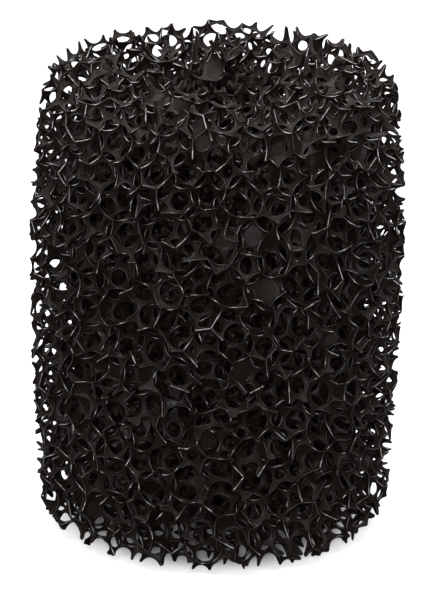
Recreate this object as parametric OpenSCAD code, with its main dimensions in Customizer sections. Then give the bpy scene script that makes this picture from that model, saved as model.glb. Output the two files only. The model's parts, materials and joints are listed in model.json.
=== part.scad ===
// Intake pre-filter sponge for a small aquarium pump: one block of coarse
// open-cell foam, slightly barrel shaped, with a blind bore for the intake tube.

/* [Foam block] */
// Height from the base to the top face
foam_h = 50; // [42:1:90]
// Diameter at the belly, the widest level of the barrel
belly_d = 39.6; // [32:0.4:70]
// Height of the belly above the base
belly_z = 32; // [14:1:38]
// Diameter that the side runs to at the top face
top_d = 36; // [30:0.4:70]
// Diameter that the side runs to at the base
base_d = 37; // [30:0.4:70]
// Rounding of the rim round the top face
top_edge_r = 1.5; // [0.5:0.5:4]
// Rounding of the rim round the base
base_edge_r = 3; // [0.5:0.5:6]

/* [Bore] */
// Diameter of the bore that grips the intake tube
bore_d = 12; // [6:0.5:18]
// Thickness of the foam left under the blind end of the bore
bore_floor = 10; // [4:1:20]
// Width of the plain ring round the bore's mouth, and of its match on the base
mouth_w = 5; // [1:0.5:6]

/* [Open cells] */
// Columns of cells round the block
cell_columns = 34; // [24:1:36]
// Rows of cells from the plain middle of the base, over the side, to the mouth ring
cell_rows = 16; // [12:1:17]
// Depth at which the back of a cut-open cell lies
cell_depth = 3.2; // [0.5:0.1:3.8]
// Depth at which its wall turns into its back
bowl_depth = 2.4; // [0.3:0.1:3]
// Width of the back, as a share of the cell's mouth
bowl_share = 0.66; // [0.4:0.02:0.8]
// How far below the outside the knife leaves the lowest struts
cut_drop = 0.5; // [0:0.1:1.5]
// How far cells stray from even spacing and even depth, in grid steps
unevenness = 0.14; // [0:0.02:0.3]
// Number that picks one random arrangement of the cells
cell_seed = 7; // [1:1:99]

/* [Hidden] */
foam_color = "#1d1b1a";
side_steps = 16;
edge_steps = 8;
cut_over = 1;
round_fn = 128;

// Half the barrel's fall-off from the belly to the end that level z lies nearer to
function end_drop(z) = (belly_d - (z > belly_z ? top_d : base_d)) / 2;
function end_reach(z) = z > belly_z ? foam_h - belly_z : belly_z;
// Radius of the side at level z, and its slope there
function side_r(z) = belly_d / 2 - end_drop(z) * pow((z - belly_z) / end_reach(z), 2);
function side_slope(z) = -2 * end_drop(z) * (z - belly_z) / pow(end_reach(z), 2);

// Angle at which the side's outward normal stands where each rim begins
top_lean = atan(-side_slope(foam_h - top_edge_r));
base_lean = atan(-side_slope(base_edge_r));
top_start_z = foam_h - top_edge_r * (1 - sin(top_lean));
base_start_z = base_edge_r * (1 + sin(base_lean));
top_centre_r = side_r(top_start_z) - top_edge_r * cos(top_lean);
base_centre_r = side_r(base_start_z) - base_edge_r * cos(base_lean);

function arc(cx, cz, r, from, to) =
    [for (i = [0:edge_steps]) let (a = from + (to - from) * i / edge_steps)
        [cx + r * cos(a), cz + r * sin(a)]];

function side_points() =
    [for (i = [1:side_steps - 1]) let (z = base_start_z + (top_start_z - base_start_z) * i / side_steps)
        [side_r(z), z]];

// The outline that carries the cells, from the plain middle of the base to the mouth ring
plain_r = bore_d / 2 + mouth_w;
outline = concat(
    [[plain_r, 0]],
    arc(base_centre_r, base_edge_r, base_edge_r, -90, base_lean),
    side_points(),
    arc(top_centre_r, foam_h - top_edge_r, top_edge_r, top_lean, 90),
    [[plain_r, foam_h]]);
run = [for (i = 0, s = 0; i < len(outline);
            i = i + 1, s = s + (i < len(outline) ? norm(outline[i] - outline[i - 1]) : 0)) s];
run_r = [for (i = [0:len(run) - 1]) [run[i], outline[i][0]]];
run_z = [for (i = [0:len(run) - 1]) [run[i], outline[i][1]]];
function outline_at(s) = [lookup(s, run_r), lookup(s, run_z)];

// Cells lie on every second point of a triangular grid; the points between are struts of the
// foam, and each three of them carry the web of a joint
columns = 2 * cell_columns;
rows = 2 * cell_rows + 2;
step = run[len(run) - 1] / rows;
stray = rands(-1, 1, 3 * columns * (rows + 1), cell_seed);
function wrapped(i) = (i + columns) % columns;
function stray_at(i, k, axis) = k == 0 || k == rows ? 0 : stray[3 * (k * columns + wrapped(i)) + axis];
function is_cell(i, k) = k > 0 && k < rows && k % 2 == 0 && (i + columns - k / 2) % 2 == 0;

// A grid point's way along the outline and its angle round the block
function spot(i, k) = [
    step * (k + unevenness * stray_at(i, k, 0)),
    360 / columns * (i + (k % 2) / 2 + unevenness * stray_at(i, k, 1))];

// Inward from an outline point, towards the middle of the foam between bore and side
function inward(p) =
    let (to = [bore_d / 2 - p[0], min(max(p[1], plain_r), foam_h - plain_r) - p[1]]) to / norm(to);
function sunk(spot, depth) =
    let (p = outline_at(spot[0]), q = p + depth * inward(p)) [q[0] * cos(spot[1]), q[0] * sin(spot[1]), q[1]];

function uneven(depth, i, k) = depth * (1 + unevenness * stray_at(i, k, 2));
function grid_point(i, k) =
    sunk(spot(i, k), is_cell(i, k) ? uneven(cell_depth, i, k) : cut_drop * max(0, stray_at(i, k, 2)));
function id(i, k) = k * columns + wrapped(i);

// The six struts round a cell, anticlockwise as seen from outside, and the points of its wall's foot
function around(i, k) = [[i + 1, k], [i, k + 1], [i - 1, k + 1], [i - 1, k], [i - 1, k - 1], [i, k - 1]];
function foot_points(i, k) = [for (n = around(i, k))
    sunk(spot(i, k) + bowl_share * (spot(n[0], n[1]) - spot(i, k)), uneven(bowl_depth, i, k))];

function bowl_faces(i, k, foot) =
    let (strut = around(i, k))
        [for (a = [0:5]) let (b = (a + 1) % 6, one = id(strut[a][0], strut[a][1]), two = id(strut[b][0], strut[b][1]))
            each [[id(i, k), foot + b, foot + a], [foot + a, two, one], [foot + a, foot + b, two]]];

// The two triangles that each grid point shares with its neighbours to the right and above
function grid_faces(i, k) = k % 2 == 0
    ? [[[i, k], [i, k + 1], [i + 1, k]], [[i + 1, k], [i, k + 1], [i + 1, k + 1]]]
    : [[[i, k], [i, k + 1], [i + 1, k + 1]], [[i, k], [i + 1, k + 1], [i + 1, k]]];
function is_web(face) = len([for (p = face) if (is_cell(wrapped(p[0]), p[1])) p]) == 0;

module cut_block() {
    cells = [for (k = [0:rows]) for (i = [0:columns - 1]) if (is_cell(i, k)) [i, k]];
    grid = [for (k = [0:rows]) for (i = [0:columns - 1]) grid_point(i, k)];
    feet = [for (c = cells) each foot_points(c[0], c[1])];
    webs = [for (k = [0:rows - 1]) for (i = [0:columns - 1]) for (face = grid_faces(i, k))
        if (is_web(face)) [for (p = face) id(p[0], p[1])]];
    bowls = [for (n = [0:len(cells) - 1]) each bowl_faces(cells[n][0], cells[n][1], len(grid) + 6 * n)];
    base = [for (i = [0:columns - 1]) i];
    top = [for (i = [columns - 1:-1:0]) rows * columns + i];
    polyhedron(concat(grid, feet), concat([base], webs, bowls, [top]));
}

module foam_cartridge() {
    color(foam_color)
    difference() {
        cut_block();
        translate([0, 0, bore_floor])
            cylinder(d = bore_d, h = foam_h - bore_floor + cut_over, $fn = round_fn);
    }
}

foam_cartridge();
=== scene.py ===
"""Dresses an aquarium pre-filter sponge: a barrel-shaped block of black foam with a blind bore."""

import json
import math
from itertools import combinations

import bpy
import numpy as np
from bpy.props import FloatProperty, FloatVectorProperty, IntProperty, PointerProperty, StringProperty
from bpy.types import Operator, Panel, PropertyGroup
from mathutils import Matrix, Vector
from mathutils.kdtree import KDTree

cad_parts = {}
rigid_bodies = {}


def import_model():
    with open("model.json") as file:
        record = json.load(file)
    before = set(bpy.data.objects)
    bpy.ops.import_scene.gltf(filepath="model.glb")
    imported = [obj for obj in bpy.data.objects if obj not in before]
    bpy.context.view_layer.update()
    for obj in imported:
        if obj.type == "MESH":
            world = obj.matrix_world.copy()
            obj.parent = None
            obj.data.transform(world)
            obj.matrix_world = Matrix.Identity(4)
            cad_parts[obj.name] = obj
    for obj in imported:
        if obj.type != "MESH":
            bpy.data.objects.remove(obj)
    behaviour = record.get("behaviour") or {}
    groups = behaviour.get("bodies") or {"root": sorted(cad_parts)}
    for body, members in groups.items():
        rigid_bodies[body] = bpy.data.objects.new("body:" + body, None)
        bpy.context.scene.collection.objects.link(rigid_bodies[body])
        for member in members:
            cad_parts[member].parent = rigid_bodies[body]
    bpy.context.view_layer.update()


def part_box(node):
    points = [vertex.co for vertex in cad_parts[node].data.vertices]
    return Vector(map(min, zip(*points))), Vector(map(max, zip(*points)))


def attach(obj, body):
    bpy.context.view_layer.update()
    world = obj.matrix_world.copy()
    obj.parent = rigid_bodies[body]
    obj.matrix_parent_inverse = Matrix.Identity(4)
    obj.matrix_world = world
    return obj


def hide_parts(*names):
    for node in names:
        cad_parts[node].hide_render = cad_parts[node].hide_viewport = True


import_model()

bl_info = {
    "name": "Open-cell filter sponge",
    "version": (1, 0, 0),
    "blender": (4, 5, 0),
    "location": "View3D > Sidebar > Sponge",
    "description": "Builds a reticulated foam filter sponge, strut by strut, and a stage for it",
    "category": "Object",
}

MM = 0.001
BLOCK_NODE = "foam_cartridge"
BODY = "root"
BLOCK_LOW, BLOCK_HIGH = (np.array(corner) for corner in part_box(BLOCK_NODE))


# ---------------------------------------------------------------- settings


class BlockSizes(PropertyGroup):
    """Outline of the foam block; its height and belly come from the construction model."""

    belly_z: FloatProperty(
        name="Belly height", description="Height of the widest level above the base",
        default=32 * MM, min=0.0, unit="LENGTH")
    top_d: FloatProperty(
        name="Top diameter", description="Diameter that the side runs to at the top face",
        default=36 * MM, min=0.0, unit="LENGTH")
    base_d: FloatProperty(
        name="Base diameter", description="Diameter that the side runs to at the base",
        default=37 * MM, min=0.0, unit="LENGTH")
    top_edge_r: FloatProperty(
        name="Top rim radius", description="Rounding of the rim round the top face",
        default=1.5 * MM, min=0.0, unit="LENGTH")
    base_edge_r: FloatProperty(
        name="Base rim radius", description="Rounding of the rim round the base",
        default=3 * MM, min=0.0, unit="LENGTH")
    bore_d: FloatProperty(
        name="Bore diameter", description="Diameter of the bore for the intake tube",
        default=12 * MM, min=0.0, unit="LENGTH")
    bore_floor: FloatProperty(
        name="Bore floor", description="Thickness of the foam under the blind end of the bore",
        default=10 * MM, min=0.0, unit="LENGTH")


class CellSizes(PropertyGroup):
    """Cells and struts of the foam."""

    cell_d: FloatProperty(
        name="Cell diameter", description="Diameter of a ball that holds as much as a mean cell",
        default=3.6 * MM, min=1 * MM, unit="LENGTH")
    rise: FloatProperty(
        name="Rise", description="How much taller than wide a cell is, as foam grows upwards",
        default=1.1, min=0.8, max=1.5)
    strut_r: FloatProperty(
        name="Strut radius", description="From a strut's middle line to one of its three edges",
        default=0.185 * MM, min=0.02 * MM, unit="LENGTH")
    waist: FloatProperty(
        name="Waist",
        description="Distance from the middle line to a hollow side, as a share of the strut radius",
        default=0.32, min=0.1, max=0.5)
    lip: FloatProperty(
        name="Lip", description="Thickness of the rim that a burst film leaves along each edge",
        default=0.085 * MM, min=0.01 * MM, unit="LENGTH")
    web: FloatProperty(
        name="Web",
        description="How far the rounded corner of a window stands off its joint, in strut radii",
        default=1.45, min=1.0, max=4.0)
    dip: FloatProperty(
        name="Dip",
        description="From the middle of a joint to its hollow side towards a cell, in strut radii",
        default=0.6, min=0.1, max=1.0)
    tip: FloatProperty(
        name="Tip", description="Size of a strut where the knife cut it, as a share of the whole section",
        default=0.55, min=0.1, max=1.0)
    uneven: FloatProperty(
        name="Unevenness",
        description="Spread of the width of a window's rim from window to window, as a share",
        default=0.28, min=0.0, max=0.6)
    films: FloatProperty(
        name="Films", description="Share of the outermost windows whose film the burning has left whole",
        default=0.02, min=0.0, max=1.0)
    inner_films: FloatProperty(
        name="Inner films", description="Share of the windows deeper than half a cell that keep their film",
        default=0.2, min=0.0, max=1.0)
    fine_depth: FloatProperty(
        name="Fine depth", description="Depth below the outside to which struts get their full section",
        default=4.4 * MM, min=0.0, unit="LENGTH")
    settle_rounds: IntProperty(
        name="Settling rounds", description="Rounds in which crowded bubbles push each other apart",
        default=24, min=0)
    round_rounds: IntProperty(
        name="Rounding rounds", description="Rounds in which each bubble moves to the middle of its cell",
        default=2, min=0)
    slices: IntProperty(
        name="Slices", description="Number of wedge-shaped meshes that the block is kept as",
        default=10, min=1, max=36)
    seed: IntProperty(name="Seed", description="Seed of every random choice", default=7)


class StageSizes(PropertyGroup):
    """Camera, lights and floor."""

    camera_distance: FloatProperty(
        name="Camera distance", description="From the camera to the middle of the block",
        default=0.472, min=0.1, unit="LENGTH")
    camera_elevation: FloatProperty(
        name="Camera elevation", description="Angle at which the camera looks down",
        default=math.radians(20), subtype="ANGLE")
    camera_roll: FloatProperty(
        name="Camera roll", description="Tilt of the picture, positive to lean the block to the right",
        default=math.radians(1.05), subtype="ANGLE")
    pixel: FloatProperty(
        name="Pixel size", description="Width of one picture pixel at the middle of the block",
        default=0.1057 * MM, unit="LENGTH")
    floor_color: FloatVectorProperty(
        name="Floor colour", description="Colour of the floor and backdrop", subtype="COLOR",
        size=3, min=0.0, max=1.0, default=(0.5, 0.5, 0.5))


# ---------------------------------------------------------------- outline of the block


def outline(sizes):
    """The radius of the block's outline at any height, as a function of heights in metres."""
    height = BLOCK_HIGH[2] - BLOCK_LOW[2]
    belly_r = (BLOCK_HIGH[0] - BLOCK_LOW[0]) / 2

    def side(z):
        above = z > sizes.belly_z
        end_r = np.where(above, sizes.top_d, sizes.base_d) / 2
        reach = np.where(above, height - sizes.belly_z, sizes.belly_z)
        return belly_r - (belly_r - end_r) * ((z - sizes.belly_z) / reach) ** 2

    def rim(z, edge_r, start_z):
        over = np.clip((z - start_z) / edge_r, 0, 1) if start_z > sizes.belly_z else np.clip(
            (start_z - z) / edge_r, 0, 1)
        return edge_r * (1 - np.sqrt(1 - over ** 2))

    def radius(z):
        top = rim(z, sizes.top_edge_r, height - sizes.top_edge_r)
        base = rim(z, sizes.base_edge_r, sizes.base_edge_r)
        return side(z) - top - base

    return radius


def depth_below_outside(points, sizes):
    """How deep each point lies below the block's outside, the bore left out, and below 0 outside it."""
    height = BLOCK_HIGH[2] - BLOCK_LOW[2]
    x, y, z = points.T
    side = outline(sizes)(np.clip(z, 0, height)) - np.hypot(x, y)
    return np.minimum(side, np.minimum(z, height - z))


def depth_in_block(points, sizes):
    """How deep each point lies in the foam, and below 0 outside it or in the bore."""
    x, y, z = points.T
    bore = np.maximum(np.hypot(x, y) - sizes.bore_d / 2, sizes.bore_floor - z)
    return np.minimum(depth_below_outside(points, sizes), bore)


# ---------------------------------------------------------------- bubbles and their cells


def nearest(points, count):
    """The ids of each point's nearest others."""
    tree = KDTree(len(points))
    for i, point in enumerate(points):
        tree.insert(point, i)
    tree.balance()
    return np.array([[hit[1] for hit in tree.find_n(point, count + 1)][1:] for point in points])


def scattered_bubbles(cells, rng):
    """Middles of bubbles, in cell diameters, spread evenly over a cylinder that holds the block."""
    margin = 1.5
    near_count, near_rounds = 16, 4
    push_reach, push_stride = 1.25, 0.35
    belly_r = (BLOCK_HIGH[0] - BLOCK_LOW[0]) / 2 / cells.cell_d
    height = (BLOCK_HIGH[2] - BLOCK_LOW[2]) / cells.cell_d / cells.rise
    low = np.array([-belly_r - margin, -belly_r - margin, -margin])
    high = np.array([belly_r + margin, belly_r + margin, height + margin])
    bubble_volume = math.pi / 6
    count = int(np.prod(high - low) / bubble_volume)
    points = rng.uniform(low, high, (count, 3))
    points = points[np.hypot(points[:, 0], points[:, 1]) < high[0]]
    spacing = (bubble_volume * math.sqrt(2)) ** (1 / 3)
    for i in range(cells.settle_rounds):
        if i % near_rounds == 0:
            near = nearest(points, near_count)
        apart = points[:, None] - points[near]
        gap = np.maximum(np.linalg.norm(apart, axis=2, keepdims=True), 1e-9)
        push = np.clip(1 - gap / (push_reach * spacing), 0, None)
        points = np.clip(points + push_stride * spacing * (apart / gap * push).sum(1), low, high)
    return points


def corners_between(bubbles, near_count=26, chunk=400, widest=0.95):
    """Where four cells meet: the four bubbles round each such corner, and the corner itself.

    A corner is as far from its four bubbles as from no other, so it is the middle of the
    ball through four neighbours that holds no fifth.
    """
    near = nearest(bubbles, near_count)
    triples = np.array(list(combinations(range(near_count), 3)))
    quads, corners = [], []
    for start in range(0, len(bubbles), chunk):
        own = np.arange(start, min(start + chunk, len(bubbles)))
        ids = near[own]
        to = bubbles[ids] - bubbles[own][:, None]
        later = ids > own[:, None]
        row, pick = np.nonzero(later[:, triples[:, 0]] & later[:, triples[:, 1]] & later[:, triples[:, 2]])
        triple = triples[pick]
        a, b, c = (to[row, triple[:, k]] for k in range(3))
        bc, ca, ab = np.cross(b, c), np.cross(c, a), np.cross(a, b)
        scale = 2 * (a * bc).sum(1)
        solid = np.abs(scale) > 1e-7
        a2, b2, c2 = ((v * v).sum(1)[:, None] for v in (a, b, c))
        middle = (a2 * bc + b2 * ca + c2 * ab)[solid] / scale[solid][:, None]
        row, triple = row[solid], triple[solid]
        small = (middle * middle).sum(1) < widest ** 2
        middle, row, triple = middle[small], row[small], triple[small]
        for first, last in ((0, 8), (8, near_count)):
            other = to[row, first:last]
            outside = (other * other).sum(2) - 2 * np.einsum("mkc,mc->mk", other, middle)
            empty = (outside > -1e-8).all(1)
            middle, row, triple = middle[empty], row[empty], triple[empty]
        quads.append(np.column_stack([own[row]] + [ids[row, triple[:, k]] for k in range(3)]))
        corners.append(middle + bubbles[own[row]])
    return np.sort(np.concatenate(quads), axis=1), np.concatenate(corners)


def rounded_cells(bubbles, cells):
    """The corners between cells, after each bubble has moved to the middle of its cell a few times."""
    low, high = bubbles.min(0) + 1, bubbles.max(0) - 1
    for _ in range(cells.round_rounds):
        quads, corners = corners_between(bubbles)
        count = np.maximum(np.bincount(quads.ravel(), minlength=len(bubbles)), 1)
        middle = np.stack([
            np.bincount(quads.ravel(), np.repeat(corners[:, k], 4), len(bubbles)) / count
            for k in range(3)], 1)
        inner = ((bubbles > low) & (bubbles < high)).all(1)
        bubbles = np.where(inner[:, None], middle, bubbles)
    return bubbles, *corners_between(bubbles)


def joined(quads):
    """The corner at the other end of each strut, or -1, for each corner and each of its four cells.

    A corner's strut has the place of the one cell that it doesn't touch.
    """
    across = np.full(quads.shape, -1)
    sides = np.concatenate([np.delete(quads, k, axis=1) for k in range(4)])
    corner = np.tile(np.arange(len(quads)), 4)
    place = np.repeat(np.arange(4), len(quads))
    order = np.lexsort(sides.T)
    twin = (sides[order][1:] == sides[order][:-1]).all(1)
    one, other = order[:-1][twin], order[1:][twin]
    across[corner[one], place[one]] = corner[other]
    across[corner[other], place[other]] = corner[one]
    return across


def relaxed(corners, across, rounds=6, stiffness=0.16):
    """The corners after their struts have pulled like springs, so that few are left very short."""
    known = across >= 0
    ends = np.where(known, across, 0)
    along = corners[ends] - corners[:, None]
    rest = np.linalg.norm(along, axis=2)[known].mean()
    for _ in range(rounds):
        along = corners[ends] - corners[:, None]
        length = np.maximum(np.linalg.norm(along, axis=2), 1e-9)
        pull = np.where(known, (length - rest) / length, 0)
        corners = corners + stiffness * (along * pull[:, :, None]).sum(1)
    return corners


# ---------------------------------------------------------------- struts and joints

# The other three struts in turn, anticlockwise as seen from the tip of each.
ROUND_STRUT = np.array([[1, 2, 3], [0, 3, 2], [0, 1, 3], [0, 2, 1]])
# The three struts round each cell's side of a joint, anticlockwise as seen from the cell.
ROUND_CELL = np.array([[1, 3, 2], [0, 2, 3], [0, 3, 1], [0, 1, 2]])
PAIRS = list(combinations(range(4), 2))


def numbered_places():
    """The place of every point of a joint.

    A joint has a dip towards each cell, the hollow of each strut towards each of its cells, and two
    lips along the window corner between each two struts, from one strut's ring to the other's.
    """
    dip = np.arange(4)
    hollow = np.full((4, 4), -1)
    lip = np.full((4, 4, 4), -1)
    half = np.full((4, 4, 4), -1)
    bend = np.full((4, 4, 4), -1)
    count = 4
    for i in range(4):
        for m in range(4):
            if i != m:
                hollow[i, m] = count
                count += 1
    for i, j in PAIRS:
        for m in set(range(4)) - {i, j}:
            lip[i, j, m], half[i, j, m], half[j, i, m], lip[j, i, m] = count + np.array([0, 1, 3, 4])
            bend[i, j, m] = bend[j, i, m] = count + 2
            count += 5
    return dip, hollow, lip, half, bend, count


DIP, HOLLOW, LIP, HALF, BEND, JOINT_POINTS = numbered_places()


def unit(vectors):
    return vectors / np.maximum(np.linalg.norm(vectors, axis=-1, keepdims=True), 1e-12)


class Skeleton:
    """The joints inside the block, with the struts that leave each of them."""

    def __init__(self, sizes, cells):
        rng = np.random.default_rng(cells.seed)
        bubbles, quads, corners = rounded_cells(scattered_bubbles(cells, rng), cells)
        across = joined(quads)
        corners = relaxed(corners, across)
        stretch = cells.cell_d * np.array([1, 1, cells.rise])
        bubbles, corners = bubbles * stretch, corners * stretch
        a, b, c, d = (bubbles[quads[:, k]] for k in range(4))
        turned = np.einsum("ij,ij->i", np.cross(a - d, b - d), c - d) > 0
        for grid in (quads, across):
            grid[turned, 0], grid[turned, 1] = grid[turned, 1].copy(), grid[turned, 0].copy()
        inside = depth_in_block(corners, sizes) > cells.strut_r
        kept = self.largest_piece(across, inside & (across >= 0).all(1))
        self.ids = np.flatnonzero(kept)
        place = np.full(len(corners), -1)
        place[self.ids] = np.arange(len(self.ids))
        self.at = corners[self.ids]
        self.cells = quads[self.ids]
        depth = depth_below_outside(self.at, sizes)
        self.fine = depth < cells.fine_depth
        self.film_share = np.where(depth < cells.cell_d / 2, cells.films, cells.inner_films)
        self.next = place[across[self.ids]]
        self.way = corners[across[self.ids]] - self.at[:, None]
        self.cut = self.next < 0
        share = self.share_inside(sizes)
        self.way = self.way * share[:, :, None]
        self.length = np.linalg.norm(self.way, axis=2)
        self.along = unit(self.way)
        self.rim = np.exp(np.clip(rng.normal(0, cells.uneven, 4093), -0.5, 0.7))
        self.film_luck = rng.uniform(size=4091)

    def window(self, i, j, table):
        """What a table holds for each joint's window between struts i and j, alike at its joints."""
        m, n = (k for k in range(4) if k not in (i, j))
        low = np.minimum(self.cells[:, m], self.cells[:, n])
        high = np.maximum(self.cells[:, m], self.cells[:, n])
        return table[(low * 7919 + high * 104729) % len(table)]

    @staticmethod
    def largest_piece(across, inside):
        """The joints of the one network that holds the block together, without loose scraps."""
        label = np.where(inside, np.arange(len(inside)), -1)
        ends = np.where((across >= 0) & inside[across], across, np.arange(len(inside))[:, None])
        while True:
            lowest = np.where(inside, np.minimum(label, label[ends].min(1)), -1)
            lowest = np.where(inside, lowest[lowest], -1)
            if (lowest == label).all():
                break
            label = lowest
        main = np.bincount(label[inside]).argmax()
        return inside & (label == main)

    def share_inside(self, sizes, halvings=14, shortest=0.12 * MM):
        """How much of each strut is left where the block's surface cuts it, and 1 for a whole strut."""
        share = np.ones(self.cut.shape)
        joint, strut = np.nonzero(self.cut)
        low, high = np.zeros(len(joint)), np.ones(len(joint))
        for _ in range(halvings):
            half = (low + high) / 2
            inside = depth_in_block(self.at[joint] + self.way[joint, strut] * half[:, None], sizes) > 0
            low, high = np.where(inside, half, low), np.where(inside, high, half)
        length = np.linalg.norm(self.way[joint, strut], axis=1)
        share[joint, strut] = np.maximum(low, shortest / length)
        return share


# How far along a strut its ring stands from the joint: on a cut strut, and on one that goes on.
CUT_REACH, WHOLE_REACH = 0.8, 0.42


def joint_points(skeleton, cells):
    """The points of every joint, as an array of joints by JOINT_POINTS by 3."""
    at, along = skeleton.at, skeleton.along
    reach = np.where(skeleton.cut, CUT_REACH, WHOLE_REACH) * skeleton.length
    ring = at[:, None] + reach[:, :, None] * along
    points = np.zeros((len(at), JOINT_POINTS, 3))
    for i, j in PAIRS:
        a, b = along[:, i], along[:, j]
        cosine = (a * b).sum(1, keepdims=True)
        thick = cells.strut_r * skeleton.window(i, j, skeleton.rim)[:, None]
        edge_i = ring[:, i] + thick * unit(b - cosine * a)
        edge_j = ring[:, j] + thick * unit(a - cosine * b)
        corner = at + cells.web * thick / np.sqrt(np.maximum(1 - cosine, 0.3) / 2) * unit(a + b)
        m, n = (k for k in range(4) if k not in (i, j))
        towards_m = unit(np.cross(a, b))
        towards_m = towards_m * np.sign(((along[:, n] - along[:, m]) * towards_m).sum(1, keepdims=True))
        for cell, side in ((m, 1), (n, -1)):
            off = towards_m * side * cells.lip / 2
            for place, t in (
                (LIP[i, j], 0), (HALF[i, j], 0.25), (BEND[i, j], 0.5), (HALF[j, i], 0.75), (LIP[j, i], 1),
            ):
                curve = (1 - t) ** 2 * edge_i + 2 * t * (1 - t) * corner + t * t * edge_j
                points[:, place[cell]] = curve + off
        for strut, other in ((i, j), (j, i)):
            d = along[:, strut]
            side = unit(along[:, other] - cosine * d)
            points[:, HOLLOW[strut, other]] = ring[:, strut] - cells.waist * cells.strut_r * side
    for m in range(4):
        points[:, DIP[m]] = at - cells.dip * cells.strut_r * along[:, m]
    points[:, :, 2] = np.clip(points[:, :, 2], BLOCK_LOW[2], BLOCK_HIGH[2])
    return points


class MeshParts:
    """Points and triangles of one slice, with marks on lips and on triangles that are shaded flat."""

    def __init__(self):
        self.points, self.faces, self.lips, self.flats, self.count = [], [], [], [], 0

    def add(self, points):
        """Adds points and returns the place of the first."""
        first = self.count
        self.points.append(points.reshape(-1, 3))
        self.count += len(self.points[-1])
        return first

    def tri(self, *corners, lip=False, flat=False):
        self.faces.append(np.stack(corners, -1).reshape(-1, 3))
        self.lips.append(np.broadcast_to(lip, corners[0].shape).ravel())
        self.flats.append(np.broadcast_to(np.logical_or(lip, flat), corners[0].shape).ravel())


def ring_of(strut, cell_order):
    """Places of a strut's nine points, anticlockwise as seen from its tip: two lips, a hollow, and on."""
    a, b, c = cell_order.T
    return np.stack([
        LIP[strut, a, b], LIP[strut, a, c], HOLLOW[strut, c],
        LIP[strut, b, c], LIP[strut, b, a], HOLLOW[strut, a],
        LIP[strut, c, a], LIP[strut, c, b], HOLLOW[strut, b]], 1)


def tube(parts, near, far):
    """Triangles between two rings of like points."""
    near_next, far_next = np.roll(near, -1, 1), np.roll(far, -1, 1)
    lip = np.arange(near.shape[1]) % 3 == 0
    parts.tri(near, near_next, far_next, lip=lip)
    parts.tri(near, far_next, far, lip=lip)


def cap(parts, ring):
    """Triangles that close a ring of nine at its tip."""
    for k in (0, 3, 6):
        parts.tri(ring[:, k - 1], ring[:, k], ring[:, k + 1])
        parts.tri(ring[:, k - 1], ring[:, k + 1], ring[:, k + 2])
    parts.tri(ring[:, 2], ring[:, 5], ring[:, 8])


def add_joints(parts, first):
    """Four dished sides of each joint, one towards each of its cells, and the lips between them."""
    for m in range(4):
        ring = []
        for i, j in zip(ROUND_CELL[m], np.roll(ROUND_CELL[m], -1)):
            ring += [HOLLOW[i, m], LIP[i, j, m], HALF[i, j, m], BEND[i, j, m], HALF[j, i, m], LIP[j, i, m]]
            n = 6 - i - j - m
            near = [LIP[i, j, m], HALF[i, j, m], BEND[i, j, m], HALF[j, i, m], LIP[j, i, m]]
            far = [LIP[i, j, n], HALF[i, j, n], BEND[i, j, n], HALF[j, i, n], LIP[j, i, n]]
            if m < n:
                near, far = first[:, None] + np.array(near), first[:, None] + np.array(far)
                parts.tri(near[:, 1:], near[:, :-1], far[:, :-1], lip=True)
                parts.tri(near[:, 1:], far[:, :-1], far[:, 1:], lip=True)
        ring = first[:, None] + np.array(ring)
        parts.tri(np.broadcast_to(first[:, None] + DIP[m], ring.shape), ring, np.roll(ring, -1, 1))


def slice_of(points, slices):
    """Which wedge of the block a point lies in."""
    turn = np.arctan2(points[:, 1], points[:, 0]) / (2 * math.pi) + 0.5
    return np.minimum((turn * slices).astype(int), slices - 1)


def fine_network(skeleton, cells):
    """The struts near the outside with their full section, as one MeshParts for each slice of the block."""
    points = joint_points(skeleton, cells)
    wedge = slice_of(skeleton.at, cells.slices)
    first = np.zeros(len(points), int)
    parts = [MeshParts() for _ in range(cells.slices)]
    for s, part in enumerate(parts):
        own = np.flatnonzero((wedge == s) & skeleton.fine)
        first[own] = part.add(points[own]) + JOINT_POINTS * np.arange(len(own))
        add_joints(part, first[own])
    whole_struts(parts, skeleton, first, wedge)
    open_struts(parts, skeleton, points, first, wedge, cells)
    add_films(parts, skeleton, wedge)
    return parts


def far_places(skeleton, joint, strut):
    """For struts from joint: the other joint, and the places there of the strut and of these cells."""
    other = skeleton.next[joint, strut]
    same = skeleton.cells[other][:, None, :] == skeleton.cells[joint][:, :, None]
    at_other = np.where(same.any(2), same.argmax(2), -1)
    return other, (~same.any(1)).argmax(1), at_other


def whole_struts(parts, skeleton, first, wedge):
    """Tubes between two fine joints of one slice."""
    joint, strut = np.nonzero(skeleton.next > np.arange(len(skeleton.at))[:, None])
    other = skeleton.next[joint, strut]
    within = (wedge[joint] == wedge[other]) & skeleton.fine[joint] & skeleton.fine[other]
    joint, strut = joint[within], strut[within]
    other, far_strut, at_other = far_places(skeleton, joint, strut)
    cycle = ROUND_STRUT[strut]
    near = first[joint][:, None] + ring_of(strut, cycle)
    far = first[other][:, None] + ring_of(far_strut, np.take_along_axis(at_other, cycle, 1))
    for s, part in enumerate(parts):
        own = wedge[joint] == s
        tube(part, near[own], far[own])


def open_struts(parts, skeleton, points, first, wedge, cells):
    """Struts that end at the surface, and halves of those that leave their slice or the fine part."""
    fine = skeleton.fine[:, None]
    joint, strut = np.nonzero(skeleton.cut & fine)
    tip = skeleton.at[joint] + skeleton.way[joint, strut]
    add_stubs(parts, points, first, wedge, joint, strut, tip, cells.tip)
    leaves = (wedge[:, None] != wedge[skeleton.next]) | ~skeleton.fine[skeleton.next]
    joint, strut = np.nonzero(~skeleton.cut & fine & leaves)
    tip = skeleton.at[joint] + skeleton.way[joint, strut] / 2
    add_stubs(parts, points, first, wedge, joint, strut, tip, 1.0)


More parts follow.
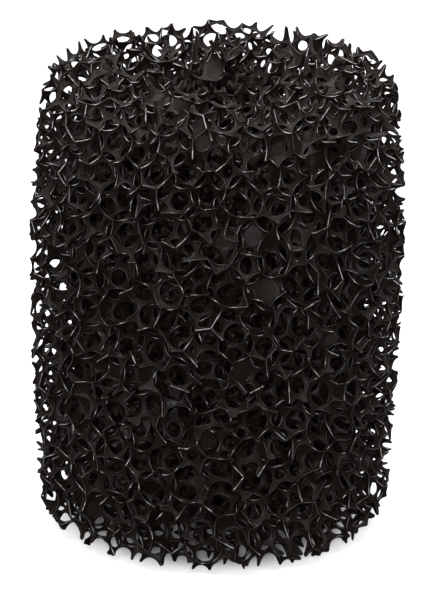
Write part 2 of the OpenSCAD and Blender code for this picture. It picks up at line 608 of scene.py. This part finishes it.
def add_stubs(parts, points, first, wedge, joint, strut, tip, taper):
    """Tubes from a joint's ring to a closed tip."""
    for s, part in enumerate(parts):
        own = wedge[joint] == s
        ring = ring_of(strut[own], ROUND_STRUT[strut[own]])
        near = points[joint[own][:, None], ring]
        far = tip[own][:, None] + (near - near.mean(1, keepdims=True)) * taper
        far[:, :, 2] = np.clip(far[:, :, 2], BLOCK_LOW[2], BLOCK_HIGH[2])
        far_ids = part.add(far) + np.arange(far.shape[0] * far.shape[1]).reshape(far.shape[:2])
        tube(part, first[joint[own]][:, None] + ring, far_ids)
        cap(part, far_ids)


def add_films(parts, skeleton, wedge, thick=0.02 * MM):
    """Thin closed sheets across the windows that keep their film, with their edges inside the struts."""
    corners = {}
    for i, j in PAIRS:
        m, n = (k for k in range(4) if k not in (i, j))
        filmed = skeleton.window(i, j, skeleton.film_luck) < skeleton.film_share
        kept = np.flatnonzero(skeleton.fine & filmed)
        for joint in kept:
            pair = tuple(sorted((int(skeleton.cells[joint, m]), int(skeleton.cells[joint, n]))))
            ends = {int(skeleton.next[joint, i]), int(skeleton.next[joint, j])}
            corners.setdefault(pair, []).append((int(joint), ends))
    for corner in corners.values():
        ways = dict(corner)
        ring = [corner[0][0]]
        while len(ring) < len(ways):
            onward = [joint for joint in ways[ring[-1]] if joint in ways and joint not in ring]
            if not onward:
                break
            ring.append(onward[0])
        if len(ring) < 3 or len(ring) < len(ways) or ring[0] not in ways[ring[-1]]:
            continue
        edge = skeleton.at[ring]
        middle = edge.mean(0)
        normal = unit(np.cross(edge - middle, np.roll(edge, -1, 0) - middle).sum(0))
        part = parts[wedge[ring[0]]]
        front = part.add(np.vstack([edge, middle]) + normal * thick / 2) + np.arange(len(ring) + 1)
        back = part.add(np.vstack([edge, middle]) - normal * thick / 2) + np.arange(len(ring) + 1)
        front_next, back_next = np.roll(front[:-1], -1), np.roll(back[:-1], -1)
        part.tri(np.full(len(ring), front[-1]), front[:-1], front_next)
        part.tri(np.full(len(ring), back[-1]), back_next, back[:-1])
        part.tri(front[:-1], back[:-1], back_next, flat=True)
        part.tri(front[:-1], back_next, front_next, flat=True)


def core_lines(skeleton, slices):
    """For each slice, the middle lines of the plain inner struts: points, edges and swelling."""
    starts_here = skeleton.next > np.arange(len(skeleton.at))[:, None]
    drawn = starts_here | skeleton.cut | skeleton.fine[skeleton.next]
    joint, strut = np.nonzero(~skeleton.fine[:, None] & drawn)
    near, way = skeleton.at[joint], skeleton.way[joint, strut]
    ends_half_way = ~skeleton.cut[joint, strut] & skeleton.fine[skeleton.next[joint, strut]]
    stops = skeleton.cut[joint, strut] | ends_half_way
    wedge = slice_of(near, slices)
    lines = []
    for s in range(slices):
        own = wedge == s
        a, w = near[own], way[own]
        stop, half_way = stops[own], ends_half_way[own]
        middle = a + w / 2
        end = a + w
        count = len(a)
        points = np.concatenate([a, middle, end])
        swell = np.concatenate([np.ones(count), np.zeros(count), np.where(stop, 0.0, 1.0)])
        start = np.arange(count)
        edges = np.concatenate([np.stack([start, start + count], 1),
                                np.stack([start + count, start + 2 * count], 1)[~half_way]])
        lines.append((points, edges, swell))
    return lines


def mesh_from(name, part, lines):
    """The fine struts as smooth faces, with the middle lines of the inner struts as loose edges."""
    points = np.concatenate(part.points)
    faces = np.concatenate(part.faces)
    line_points, edges, swell = lines
    edges = edges + len(points)
    mesh = bpy.data.meshes.new(name)
    mesh.vertices.add(len(points) + len(line_points))
    mesh.vertices.foreach_set("co", np.concatenate([points, line_points]).astype(np.float32).ravel())
    mesh.edges.add(len(edges))
    mesh.edges.foreach_set("vertices", edges.astype(np.int32).ravel())
    mesh.loops.add(faces.size)
    mesh.loops.foreach_set("vertex_index", faces.astype(np.int32).ravel())
    mesh.polygons.add(len(faces))
    mesh.polygons.foreach_set("loop_start", np.arange(0, faces.size, 3, dtype=np.int32))
    mesh.update(calc_edges=True)
    swelling = mesh.attributes.new("swell", "FLOAT", "POINT")
    swelling.data.foreach_set("value", np.concatenate([np.zeros(len(points)), swell]).astype(np.float32))
    mesh.shade_smooth()
    lips = np.concatenate(part.lips)
    flat = mesh.attributes.get("sharp_face") or mesh.attributes.new("sharp_face", "BOOLEAN", "FACE")
    flat.data.foreach_set("value", np.concatenate(part.flats))
    mesh.attributes.new("lip", "FLOAT", "FACE").data.foreach_set("value", lips.astype(np.float32))
    return mesh


def core_tree():
    """Node tree that sweeps a cornered section, thicker at the joints, along a mesh's loose edges."""
    tree = bpy.data.node_groups.new("foam_core_struts", "GeometryNodeTree")
    face = tree.interface
    face.new_socket("Geometry", in_out="INPUT", socket_type="NodeSocketGeometry")
    for name, kind in (("Strut radius", "NodeSocketFloat"), ("Joint swelling", "NodeSocketFloat"),
                       ("Section corners", "NodeSocketInt"), ("Material", "NodeSocketMaterial")):
        face.new_socket(name, in_out="INPUT", socket_type=kind)
    face.new_socket("Geometry", in_out="OUTPUT", socket_type="NodeSocketGeometry")
    given = add_node(tree, "NodeGroupInput").outputs
    neighbours = add_node(tree, "GeometryNodeInputMeshEdgeNeighbors")
    loose = add_node(tree, "FunctionNodeCompare", {2: neighbours.outputs["Face Count"], 3: 0},
                     data_type="INT", operation="EQUAL")
    split = add_node(tree, "GeometryNodeSeparateGeometry", {
        "Geometry": given["Geometry"], "Selection": loose.outputs["Result"]}, domain="EDGE")
    swell = add_node(tree, "GeometryNodeInputNamedAttribute", {"Name": "swell"}, data_type="FLOAT")
    size = add_node(tree, "ShaderNodeMath", {
        0: swell.outputs["Attribute"], 1: given["Joint swelling"], 2: 1.0}, operation="MULTIPLY_ADD")
    section = add_node(tree, "GeometryNodeCurvePrimitiveCircle", {
        "Resolution": given["Section corners"], "Radius": given["Strut radius"]}, mode="RADIUS")
    lines = add_node(tree, "GeometryNodeMeshToCurve", {"Mesh": split.outputs["Selection"]})
    struts = add_node(tree, "GeometryNodeCurveToMesh", {
        "Curve": lines.outputs["Curve"], "Profile Curve": section.outputs["Curve"],
        "Scale": size.outputs["Value"], "Fill Caps": True})
    both = add_node(tree, "GeometryNodeJoinGeometry", {"Geometry": struts.outputs["Mesh"]})
    tree.links.new(split.outputs["Inverted"], both.inputs["Geometry"])
    whole = add_node(tree, "GeometryNodeRealizeInstances", {"Geometry": both.outputs["Geometry"]})
    dressed = add_node(tree, "GeometryNodeSetMaterial", {
        "Geometry": whole.outputs["Geometry"], "Material": given["Material"]})
    add_node(tree, "NodeGroupOutput", {"Geometry": dressed.outputs["Geometry"]})
    return tree


# The plain inner struts: their radius in outer strut radii, how much thicker they get at a joint,
# and the corners of their section.
CORE_RADIUS, CORE_SWELLING, CORE_CORNERS = 2.25, 1.9, 3


def with_core(context, rough, tree, cells, material):
    """The finished mesh of a slice: its fine struts and the inner ones that the tree sweeps."""
    maker = bpy.data.objects.new("core_maker", rough)
    context.collection.objects.link(maker)
    modifier = maker.modifiers.new("core", "NODES")
    modifier.node_group = tree
    values = {
        "Strut radius": CORE_RADIUS * cells.strut_r, "Joint swelling": CORE_SWELLING,
        "Section corners": CORE_CORNERS, "Material": material}
    for socket in tree.interface.items_tree:
        if socket.in_out == "INPUT" and socket.name in values:
            modifier[socket.identifier] = values[socket.name]
    mesh = bpy.data.meshes.new_from_object(maker.evaluated_get(context.evaluated_depsgraph_get()))
    bpy.data.objects.remove(maker)
    bpy.data.meshes.remove(rough)
    return mesh


def add_bake_map(mesh):
    """A map over angle and height, on which the plain colour of the foam can be baked."""
    count = len(mesh.loops)
    vertex = np.empty(count, np.int32)
    mesh.loops.foreach_get("vertex_index", vertex)
    place = np.empty(len(mesh.vertices) * 3, np.float32)
    mesh.vertices.foreach_get("co", place)
    x, y, z = place.reshape(-1, 3)[vertex].T
    span = BLOCK_HIGH[2] - BLOCK_LOW[2]
    flat = np.stack([0.5 + np.arctan2(y, x) / (2 * math.pi), (z - BLOCK_LOW[2]) / span], 1)
    layer = mesh.uv_layers.new(name="OFBake")
    border, inside = 0.02, 0.96
    layer.data.foreach_set("uv", (border + inside * np.clip(flat, 0, 1)).astype(np.float32).ravel())


# ---------------------------------------------------------------- materials


def linear(hex_color):
    """An sRGB hex colour as linear numbers with alpha."""
    value = [int(hex_color[k:k + 2], 16) / 255 for k in (1, 3, 5)]
    return tuple(c / 12.92 if c <= 0.04045 else ((c + 0.055) / 1.055) ** 2.4 for c in value) + (1.0,)


def add_node(tree, kind, links=None, **settings):
    """Adds a node; links maps its inputs to a value or to another node's output."""
    node = tree.nodes.new(kind)
    for name, value in settings.items():
        setattr(node, name, value)
    for name, value in (links or {}).items():
        if isinstance(value, bpy.types.NodeSocket):
            tree.links.new(value, node.inputs[name])
        else:
            node.inputs[name].default_value = value
    return node


def foam_material():
    """Carbon-black polyurethane foam, its films burnt away, which leaves smooth, softly glossy struts."""
    material = bpy.data.materials.new("reticulated_polyurethane_black")
    material.use_nodes = True
    tree = material.node_tree
    shader = tree.nodes["Principled BSDF"]
    place = add_node(tree, "ShaderNodeTexCoord").outputs["Object"]
    tone = add_node(tree, "ShaderNodeTexNoise", {"Vector": place, "Scale": 1 / (9 * MM), "Detail": 3.0})
    ramp = add_node(tree, "ShaderNodeMix", {"Factor": tone.outputs["Fac"]}, data_type="RGBA")
    ramp.inputs["A"].default_value = linear("#120d0a")
    ramp.inputs["B"].default_value = linear("#1e1612")
    tree.links.new(ramp.outputs["Result"], shader.inputs["Base Color"])
    grain = add_node(tree, "ShaderNodeTexNoise", {"Vector": place, "Scale": 1 / (0.9 * MM), "Detail": 2.0})
    rough = add_node(tree, "ShaderNodeMapRange", {
        "Value": grain.outputs["Fac"], "From Min": 0.3, "From Max": 0.7, "To Min": 0.4, "To Max": 0.6})
    tree.links.new(rough.outputs["Result"], shader.inputs["Roughness"])
    shader.inputs["IOR"].default_value = 1.5
    shader.inputs["Specular IOR Level"].default_value = 0.15
    lip = add_node(tree, "ShaderNodeAttribute", attribute_name="lip", attribute_type="GEOMETRY")
    tree.links.new(lip.outputs["Fac"], shader.inputs["Coat Weight"])
    shader.inputs["Coat Roughness"].default_value = 0.46
    shader.inputs["Coat IOR"].default_value = 2.4
    return material


def stage_material(color):
    """Pale matt paper, which takes the shadow of the foam and throws light back up into it."""
    material = bpy.data.materials.new("paper_sweep")
    material.use_nodes = True
    tree = material.node_tree
    shader = tree.nodes["Principled BSDF"]
    path = add_node(tree, "ShaderNodeLightPath")
    seen = add_node(tree, "ShaderNodeMix", {"Factor": path.outputs["Is Camera Ray"]}, data_type="RGBA")
    seen.inputs["A"].default_value = (0.1, 0.1, 0.1, 1.0)
    seen.inputs["B"].default_value = (*color, 1.0)
    tree.links.new(seen.outputs["Result"], shader.inputs["Base Color"])
    shader.inputs["Roughness"].default_value = 0.9
    shader.inputs["Emission Color"].default_value = (1.0, 1.0, 1.0, 1.0)
    # For the camera the paper glows, less and less towards the middle of the block's footprint:
    # a painted shadow under the block, added to the shadow that the lamps cast there.
    place = add_node(tree, "ShaderNodeTexCoord").outputs["Object"]
    away = add_node(tree, "ShaderNodeVectorMath", {0: place}, operation="LENGTH")
    painted_shadow_glow = add_node(tree, "ShaderNodeMapRange", {
        "Value": away.outputs["Value"], "From Min": 12 * MM, "From Max": 18.5 * MM,
        "To Min": 0.03, "To Max": 0.8}, interpolation_type="SMOOTHSTEP")
    glow = add_node(tree, "ShaderNodeMath", {
        0: path.outputs["Is Camera Ray"], 1: painted_shadow_glow.outputs["Result"]}, operation="MULTIPLY")
    tree.links.new(glow.outputs["Value"], shader.inputs["Emission Strength"])
    return material


# ---------------------------------------------------------------- operators


class SPONGE_OT_foam(Operator):
    """Grow the foam's cells, cut them to the block's outline and give every strut its section"""

    bl_idname = "sponge.foam"
    bl_label = "Build the foam"

    def execute(self, context):
        sizes, cells = context.scene.sponge_block, context.scene.sponge_cells
        skeleton = Skeleton(sizes, cells)
        material = foam_material()
        tree = core_tree()
        slices = zip(fine_network(skeleton, cells), core_lines(skeleton, cells.slices))
        for number, (part, lines) in enumerate(slices, 1):
            name = f"foam_slice_{number:02d}"
            mesh = with_core(context, mesh_from(name + "_lines", part, lines), tree, cells, material)
            mesh.name = name
            add_bake_map(mesh)
            piece = bpy.data.objects.new(name, mesh)
            context.collection.objects.link(piece)
            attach(piece, BODY)
            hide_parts(BLOCK_NODE)
        return {"FINISHED"}


class SPONGE_OT_stage(Operator):
    """Lay the floor, hang the lights and set the camera"""

    bl_idname = "sponge.stage"
    bl_label = "Build the stage"

    def execute(self, context):
        stage = context.scene.sponge_stage
        add_floor(context, stage)
        add_lights(context)
        add_camera(context, stage)
        return {"FINISHED"}


def add_floor(context, stage):
    mesh = bpy.data.meshes.new("floor")
    half = 1.5
    corners = [(-half, -half, 0), (half, -half, 0), (half, half, 0), (-half, half, 0)]
    mesh.from_pydata(corners, [], [(0, 1, 2, 3)])
    floor = bpy.data.objects.new("floor", mesh)
    context.collection.objects.link(floor)
    floor.data.materials.append(stage_material(stage.floor_color))
    world = bpy.data.worlds.new("studio")
    context.scene.world = world
    world.use_nodes = True
    tree = world.node_tree
    back = tree.nodes["Background"]
    back.inputs["Color"].default_value = (1, 1, 1, 1)
    path = add_node(tree, "ShaderNodeLightPath")
    level = add_node(tree, "ShaderNodeMapRange", {
        "Value": path.outputs["Is Camera Ray"], "To Min": 0.17, "To Max": 1.0})
    tree.links.new(level.outputs["Result"], back.inputs["Strength"])


def add_lights(context):
    aim = Vector((0, 0, 0.025))
    for name, place, size, power in (
        ("top_softbox", (0.0, 0.0, 0.6), 0.6, 7.0),
        ("front_softbox", (-0.02, -0.47, 0.2), 0.06, 1.3),
    ):
        light = bpy.data.lights.new(name, "AREA")
        light.size, light.energy = size, power
        lamp = bpy.data.objects.new(name, light)
        context.collection.objects.link(lamp)
        lamp.location = place
        lamp.rotation_euler = (aim - Vector(place)).to_track_quat("-Z", "Y").to_euler()


def add_camera(context, stage):
    picture_height = 600
    shift_right, shift_down = 0.06 * MM, 0.87 * MM
    lens = bpy.data.cameras.new("camera")
    camera = bpy.data.objects.new("camera", lens)
    context.collection.objects.link(camera)
    middle = Vector((0, 0, (BLOCK_HIGH[2] + BLOCK_LOW[2]) / 2))
    tilt = stage.camera_elevation
    back = Vector((0, -math.cos(tilt), math.sin(tilt)))
    turn = back.to_track_quat("Z", "Y").to_matrix().to_4x4() @ Matrix.Rotation(stage.camera_roll, 4, "Z")
    offset = turn @ Vector((shift_right, -shift_down, 0))
    camera.matrix_world = Matrix.Translation(middle + back * stage.camera_distance + offset) @ turn
    lens.sensor_fit = "VERTICAL"
    lens.sensor_height = 24
    lens.lens = lens.sensor_height * stage.camera_distance / (picture_height * stage.pixel)
    lens.clip_start = 0.01
    context.scene.camera = camera


class SPONGE_PT_panel(Panel):
    """Lists the builders and their sizes"""

    bl_idname = "SPONGE_PT_panel"
    bl_label = "Filter sponge"
    bl_space_type = "VIEW_3D"
    bl_region_type = "UI"
    bl_category = "Sponge"

    def draw(self, context):
        for group, operator in GROUPS:
            settings = getattr(context.scene, group)
            box = self.layout.box()
            for name in settings.__annotations__:
                box.prop(settings, name)
            if operator is not None:
                box.operator(operator.bl_idname)


GROUPS = (("sponge_block", None), ("sponge_cells", SPONGE_OT_foam), ("sponge_stage", SPONGE_OT_stage))
SETTINGS = {"sponge_block": BlockSizes, "sponge_cells": CellSizes, "sponge_stage": StageSizes}
CLASSES = (*SETTINGS.values(), SPONGE_OT_foam, SPONGE_OT_stage, SPONGE_PT_panel)


def register():
    for kind in CLASSES:
        bpy.utils.register_class(kind)
    for name, kind in SETTINGS.items():
        setattr(bpy.types.Scene, name, PointerProperty(type=kind))


def unregister():
    for name in SETTINGS:
        delattr(bpy.types.Scene, name)
    for kind in reversed(CLASSES):
        bpy.utils.unregister_class(kind)


def main():
    register()
    bpy.context.scene.view_settings.view_transform = "Standard"
    bpy.ops.sponge.foam()
    bpy.ops.sponge.stage()
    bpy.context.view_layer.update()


if __name__ == "__main__":
    main()
